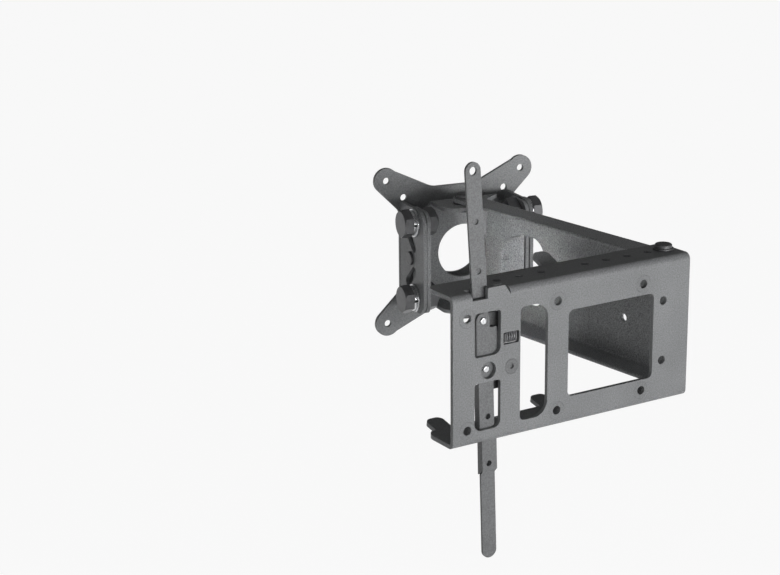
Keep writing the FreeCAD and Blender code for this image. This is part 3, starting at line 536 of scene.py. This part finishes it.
def grown_piece(name, points, tree, values):
    """Plain mesh that a Geometry Nodes tree grows on a set of points."""
    seed_mesh = bpy.data.meshes.new(name + "_points")
    seed_mesh.from_pydata(points, [], [])
    seed = bpy.data.objects.new(name + "_seed", seed_mesh)
    bpy.context.scene.collection.objects.link(seed)
    modifier = seed.modifiers.new(name, "NODES")
    modifier.node_group = tree
    sockets = {item.name: item.identifier for item in tree.interface.items_tree if item.in_out == "INPUT"}
    for label, value in values.items():
        modifier[sockets[label]] = value
    depsgraph = bpy.context.evaluated_depsgraph_get()
    mesh = bpy.data.meshes.new_from_object(seed.evaluated_get(depsgraph), depsgraph=depsgraph)
    seed.modifiers.remove(modifier)
    bpy.data.objects.remove(seed)
    mesh.name = name
    piece = bpy.data.objects.new(name, mesh)
    bpy.context.scene.collection.objects.link(piece)
    if not mesh.polygons:
        raise RuntimeError(name + " came out empty")
    return piece


def coil_tree(name, finish_name):
    """Round wire wound into a coil along +X on every point."""
    tree, start, end = geometry_tree(name, (
        ("Points", "NodeSocketGeometry", None), ("Turns", "NodeSocketFloat", 5.0),
        ("Coil radius", "NodeSocketFloat", 0.003), ("Length", "NodeSocketFloat", 0.007),
        ("Wire radius", "NodeSocketFloat", 0.0004), ("Wire sides", "NodeSocketInt", 8)))
    spiral = add_node(tree, "GeometryNodeCurveSpiral")
    spiral.inputs["Resolution"].default_value = coil_steps
    wire = add_node(tree, "GeometryNodeCurvePrimitiveCircle")
    sweep = add_node(tree, "GeometryNodeCurveToMesh")
    sweep.inputs["Fill Caps"].default_value = True
    lay = add_node(tree, "GeometryNodeTransform")
    lay.inputs["Rotation"].default_value = (0.0, math.pi / 2, 0.0)
    copies = add_node(tree, "GeometryNodeInstanceOnPoints")
    real = add_node(tree, "GeometryNodeRealizeInstances")
    smooth = add_node(tree, "GeometryNodeSetShadeSmooth")
    coated = add_node(tree, "GeometryNodeSetMaterial")
    coated.inputs["Material"].default_value = finish(finish_name)
    join(tree,
         (start.outputs["Turns"], spiral.inputs["Rotations"]),
         (start.outputs["Coil radius"], spiral.inputs["Start Radius"]),
         (start.outputs["Coil radius"], spiral.inputs["End Radius"]),
         (start.outputs["Length"], spiral.inputs["Height"]),
         (start.outputs["Wire radius"], wire.inputs["Radius"]),
         (start.outputs["Wire sides"], wire.inputs["Resolution"]),
         (spiral.outputs["Curve"], sweep.inputs["Curve"]),
         (wire.outputs["Curve"], sweep.inputs["Profile Curve"]),
         (sweep.outputs["Mesh"], lay.inputs["Geometry"]),
         (start.outputs["Points"], copies.inputs["Points"]),
         (lay.outputs["Geometry"], copies.inputs["Instance"]),
         (copies.outputs["Instances"], smooth.inputs["Geometry"]),
         (smooth.outputs["Geometry"], real.inputs["Geometry"]),
         (real.outputs["Geometry"], coated.inputs["Geometry"]),
         (coated.outputs["Geometry"], end.inputs["Geometry"]))
    return tree


class MOUNT_OT_wall_plate(bpy.types.Operator):
    """Round the wall plate's edges and give it its coat with pressed rings round the screw holes, darkened
    inside as painted shade
    """
    bl_idname = "mount.wall_plate"
    bl_label = "Wall plate"

    def execute(self, context):
        rounded_piece("wall_plate", context.scene.mount_coat.edge_round, "plate_finish")
        return {"FINISHED"}


class MOUNT_OT_arm(bpy.types.Operator):
    """Round the arm channel's edges and coat it"""
    bl_idname = "mount.arm"
    bl_label = "Arm"

    def execute(self, context):
        coat = context.scene.mount_coat
        arm = rounded_piece("arm_channel", coat.edge_round, "arm_coat_with_painted_light")
        pivot = Vector(joints["arm_swing"]["pos_m"])
        for vertex in arm.data.vertices:
            reach = (vertex.co - pivot).xy
            if vertex.co.y < pivot.y and reach.length > pivot_eye:
                vertex.co.xy -= reach.normalized() * coat.arm_end_room
        return {"FINISHED"}


class MOUNT_OT_head_sheets(bpy.types.Operator):
    """Round the edges of the head bracket and the screen plate and coat them"""
    bl_idname = "mount.head_sheets"
    bl_label = "Head sheets"

    def execute(self, context):
        edge = context.scene.mount_coat.edge_round
        rounded_piece("head_bracket", edge, "bracket_coat_with_painted_light")
        rounded_piece("screen_plate", edge, "screen_coat_with_painted_light")
        return {"FINISHED"}


class MOUNT_OT_release_lever(bpy.types.Operator):
    """Round and coat the straps and the latch plate, and plate their rivets and stud"""
    bl_idname = "mount.release_lever"
    bl_label = "Release lever"

    def execute(self, context):
        edge = context.scene.mount_coat.edge_round
        slimmer(rounded_piece("upper_strap", edge, "strap_finish"), context.scene.mount_coat.strap_slim)
        longer_fold(rounded_piece("lower_strap", edge, "strap_finish"), context.scene.mount_coat.fold_run)
        rounded_piece("latch_plate", edge, "latch_coat_with_painted_shadow")
        rounded_piece("pivot_stud", edge, "strap_finish")
        rounded_piece("stud_clip", context.scene.mount_hardware.edge_round, "zinc_finish")
        coat_node("strap_rivets", "zinc_finish")
        return {"FINISHED"}


class MOUNT_OT_latch_spring(bpy.types.Operator):
    """Wind the latch spring between the plate's bridge and the latch lug"""
    bl_idname = "mount.latch_spring"
    bl_label = "Latch spring"

    def execute(self, context):
        hardware = context.scene.mount_hardware
        wire = hardware.spring_wire
        middle = (spring_low + spring_high) / 2
        tree = coil_tree("spring_winding", "spring_finish")
        spring = grown_piece("latch_spring_coil", [(spring_low.x + wire, middle.y, middle.z)], tree, {
            "Turns": float(hardware.spring_turns),
            "Coil radius": (spring_high.z - spring_low.z) / 2 - wire,
            "Length": spring_high.x - spring_low.x - 2 * wire,
            "Wire radius": wire,
            "Wire sides": spring_sides})
        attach(spring, "wall")
        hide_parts("latch_spring")
        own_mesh(spring)
        return {"FINISHED"}


class MOUNT_OT_pivots(bpy.types.Operator):
    """Finish the rivets and washers of the wall pivot and the head pivot"""
    bl_idname = "mount.pivots"
    bl_label = "Pivots"

    def execute(self, context):
        edge = context.scene.mount_hardware.edge_round
        for pivot in ("wall_pivot", "head_pivot"):
            coat_node(pivot + "_rivets", "pin_finish")
            rounded_piece(pivot + "_washers", edge, "pin_finish")
            rounded_piece(pivot + "_nylon_washers", edge, "nylon_finish")
            rounded_piece(pivot + "_inner_washers", edge, "zinc_finish")
        return {"FINISHED"}


class MOUNT_OT_tilt_bolts(bpy.types.Operator):
    """Round and finish the tilt bolts, their washers and nuts, and the tilt pins"""
    bl_idname = "mount.tilt_bolts"
    bl_label = "Tilt bolts"

    def execute(self, context):
        edge = context.scene.mount_hardware.edge_round
        rounded_piece("tilt_bolts", edge, "black_finish")
        rounded_piece("tilt_nuts", edge, "black_finish")
        rounded_piece("tilt_flat_washers", edge, "zinc_finish")
        rounded_piece("tilt_spring_washers", edge, "zinc_finish")
        coat_node("tilt_nylon_washers", "nylon_finish")
        coat_node("tilt_pins", "pin_finish")
        return {"FINISHED"}


class MOUNT_OT_bolt_threads(bpy.types.Operator):
    """Wind the thread on the four bolt ends that stand out of the nuts"""
    bl_idname = "mount.bolt_threads"
    bl_label = "Bolt threads"

    def execute(self, context):
        hardware = context.scene.mount_hardware
        length = hardware.thread_pitch * hardware.thread_turns
        tree = coil_tree("thread_winding", "black_finish")
        turn = across_head.to_track_quat("X", "Z").to_matrix().to_4x4()
        starts = [turn.inverted() @ point for point in thread_starts(length)]
        threads = grown_piece("tilt_bolt_threads", starts, tree, {
            "Turns": hardware.thread_turns,
            "Coil radius": hardware.thread_radius,
            "Length": length,
            "Wire radius": hardware.thread_pitch / pitch_over_ridge,
            "Wire sides": thread_sides})
        threads.data.transform(turn)
        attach(threads, "head")
        return {"FINISHED"}


def thread_starts(length):
    """Where a thread of some length starts on each of the four bolts, read from the bolts' own ends."""
    bolts = bmesh.new()
    bolts.from_mesh(frame["nodes"]["tilt_bolts"].data)
    bmesh.ops.remove_doubles(bolts, verts=bolts.verts, dist=merge_gap)
    waiting = set(bolts.verts)
    starts = []
    while waiting:
        reached = [waiting.pop()]
        for vertex in reached:
            for edge in vertex.link_edges:
                other = edge.other_vert(vertex)
                if other in waiting:
                    waiting.remove(other)
                    reached.append(other)
        spots = [vertex.co - tilt_point for vertex in reached]
        reaches = [spot.dot(across_head) for spot in spots]
        end = min(reaches, key=abs)
        tip = [vertex.co for vertex, reach in zip(reached, reaches) if abs(reach - end) < tip_gap]
        centre = sum(tip, Vector()) / len(tip)
        starts.append(centre + across_head * (thread_inset if end > 0 else -thread_inset - length))
    bolts.free()
    return starts


class MOUNT_OT_stage(bpy.types.Operator):
    """Set the floor, the soft light and the camera"""
    bl_idname = "mount.stage"
    bl_label = "Stage"

    def execute(self, context):
        stage = context.scene.mount_stage
        make_floor(stage, cad_box[0].z - floor_drop)
        make_light("key_light", stage.key_power)
        make_light("side_light", stage.side_power)
        make_light("top_light", stage.top_power)
        make_light("arm_light", stage.arm_power, stage.arm_spread)
        make_world(stage)
        make_camera(stage)
        context.scene.view_settings.view_transform = "Standard"
        return {"FINISHED"}


def make_floor(stage, height):
    """Wide pale floor that glows for the camera and in reflections."""
    mesh = bpy.data.meshes.new("floor")
    grid = bmesh.new()
    bmesh.ops.create_grid(grid, x_segments=8, y_segments=8, size=floor_half)
    bmesh.ops.translate(grid, verts=grid.verts, vec=(0.0, 0.0, height))
    grid.to_mesh(mesh)
    grid.free()
    floor = bpy.data.objects.new("floor", mesh)
    bpy.context.scene.collection.objects.link(floor)
    material, tree, shader = new_material("pale_floor")
    coordinates = add_node(tree, "ShaderNodeTexCoord").outputs["Object"]
    cloud = noise(tree, coordinates, scale=3.0, detail=2.0)
    pale = [(0.3, scaled(stage.floor, 0.985)), (0.7, list(stage.floor))]
    tree.links.new(ramp(tree, cloud, pale), shader.inputs["Base Color"])
    shader.inputs["Roughness"].default_value = 0.9
    shader.inputs["Specular IOR Level"].default_value = 0.1
    glow = add_node(tree, "ShaderNodeEmission")
    glow.inputs["Color"].default_value = (1.0, 1.0, 1.0, 1.0)
    glow.inputs["Strength"].default_value = 1.0
    path = add_node(tree, "ShaderNodeLightPath")
    seen = maths(tree, "MAXIMUM", path.outputs["Is Camera Ray"], path.outputs["Is Glossy Ray"])
    share = maths(tree, "MULTIPLY", seen, floor_glow)
    mixed = add_node(tree, "ShaderNodeMixShader")
    output = tree.nodes["Material Output"]
    join(tree, (share, mixed.inputs["Fac"]), (shader.outputs["BSDF"], mixed.inputs[1]),
         (glow.outputs["Emission"], mixed.inputs[2]), (mixed.outputs["Shader"], output.inputs["Surface"]))
    mesh.materials.append(material)


def make_light(name, power, beam=math.pi):
    """Soft light with the size, place and target of its lamp."""
    size, place, target = lamps[name]
    lamp = bpy.data.lights.new(name, "AREA")
    lamp.shape = "RECTANGLE"
    lamp.energy = power
    lamp.size, lamp.size_y = size
    lamp.spread = beam
    light = bpy.data.objects.new(name, lamp)
    light.location = place
    aim = Vector(target) - Vector(place)
    light.rotation_euler = aim.to_track_quat("-Z", "Y").to_euler()
    bpy.context.scene.collection.objects.link(light)


def make_world(stage):
    """Even room light, white to the camera."""
    world = bpy.data.worlds.new("room")
    world.use_nodes = True
    background = world.node_tree.nodes["Background"]
    background.inputs["Color"].default_value = (1.0, 1.0, 1.0, 1.0)
    path = add_node(world.node_tree, "ShaderNodeLightPath")
    strength = spread(world.node_tree, path.outputs["Is Camera Ray"], 0.0, 1.0, stage.world, 1.0)
    world.node_tree.links.new(strength, background.inputs["Strength"])
    bpy.context.scene.world = world


def make_camera(stage):
    """Camera at the photo's place and angle."""
    forward = Vector((math.sin(stage.yaw) * math.cos(stage.pitch),
                      math.cos(stage.yaw) * math.cos(stage.pitch), -math.sin(stage.pitch)))
    level = Vector((math.cos(stage.yaw), -math.sin(stage.yaw), 0.0))
    up = level.cross(forward)
    right = math.cos(stage.roll) * level + math.sin(stage.roll) * up
    top = right.cross(forward)
    lens = bpy.data.cameras.new("photo_camera")
    lens.sensor_fit = "HORIZONTAL"
    lens.sensor_width = sensor_width
    lens.lens = stage.focal_length
    lens.clip_start = nearest_view
    camera = bpy.data.objects.new("photo_camera", lens)
    turn = Matrix((right, top, -forward)).transposed().to_4x4()
    camera.matrix_world = Matrix.Translation(stage.camera_place) @ turn
    bpy.context.scene.collection.objects.link(camera)
    bpy.context.scene.camera = camera


class MOUNT_PT_panel(bpy.types.Panel):
    """Sizes, colours and steps of the mount"""
    bl_idname = "MOUNT_PT_panel"
    bl_label = "Screen mount"
    bl_space_type = "VIEW_3D"
    bl_region_type = "UI"
    bl_category = "Mount"

    def draw(self, context):
        for group in (context.scene.mount_coat, context.scene.mount_hardware, context.scene.mount_stage):
            box = self.layout.box()
            for name in group.bl_rna.properties.keys():
                if name not in {"rna_type", "name"}:
                    box.prop(group, name)
        for step in steps:
            self.layout.operator(step.bl_idname)


steps = (
    MOUNT_OT_wall_plate,
    MOUNT_OT_arm,
    MOUNT_OT_head_sheets,
    MOUNT_OT_release_lever,
    MOUNT_OT_latch_spring,
    MOUNT_OT_pivots,
    MOUNT_OT_tilt_bolts,
    MOUNT_OT_bolt_threads,
    MOUNT_OT_stage,
)
groups = (MountCoatSettings, MountHardwareSettings, MountStageSettings)


def register():
    for item in groups + steps + (MOUNT_PT_panel,):
        bpy.utils.register_class(item)
    bpy.types.Scene.mount_coat = PointerProperty(type=MountCoatSettings)
    bpy.types.Scene.mount_hardware = PointerProperty(type=MountHardwareSettings)
    bpy.types.Scene.mount_stage = PointerProperty(type=MountStageSettings)


def unregister():
    del bpy.types.Scene.mount_stage
    del bpy.types.Scene.mount_hardware
    del bpy.types.Scene.mount_coat
    for item in reversed(groups + steps + (MOUNT_PT_panel,)):
        bpy.utils.unregister_class(item)


def main():
    """Run every step in order."""
    register()
    bpy.ops.mount.wall_plate()
    bpy.ops.mount.arm()
    bpy.ops.mount.head_sheets()
    bpy.ops.mount.release_lever()
    bpy.ops.mount.latch_spring()
    bpy.ops.mount.pivots()
    bpy.ops.mount.tilt_bolts()
    bpy.ops.mount.bolt_threads()
    bpy.ops.mount.stage()
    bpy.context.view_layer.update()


if __name__ == "__main__":
    main()
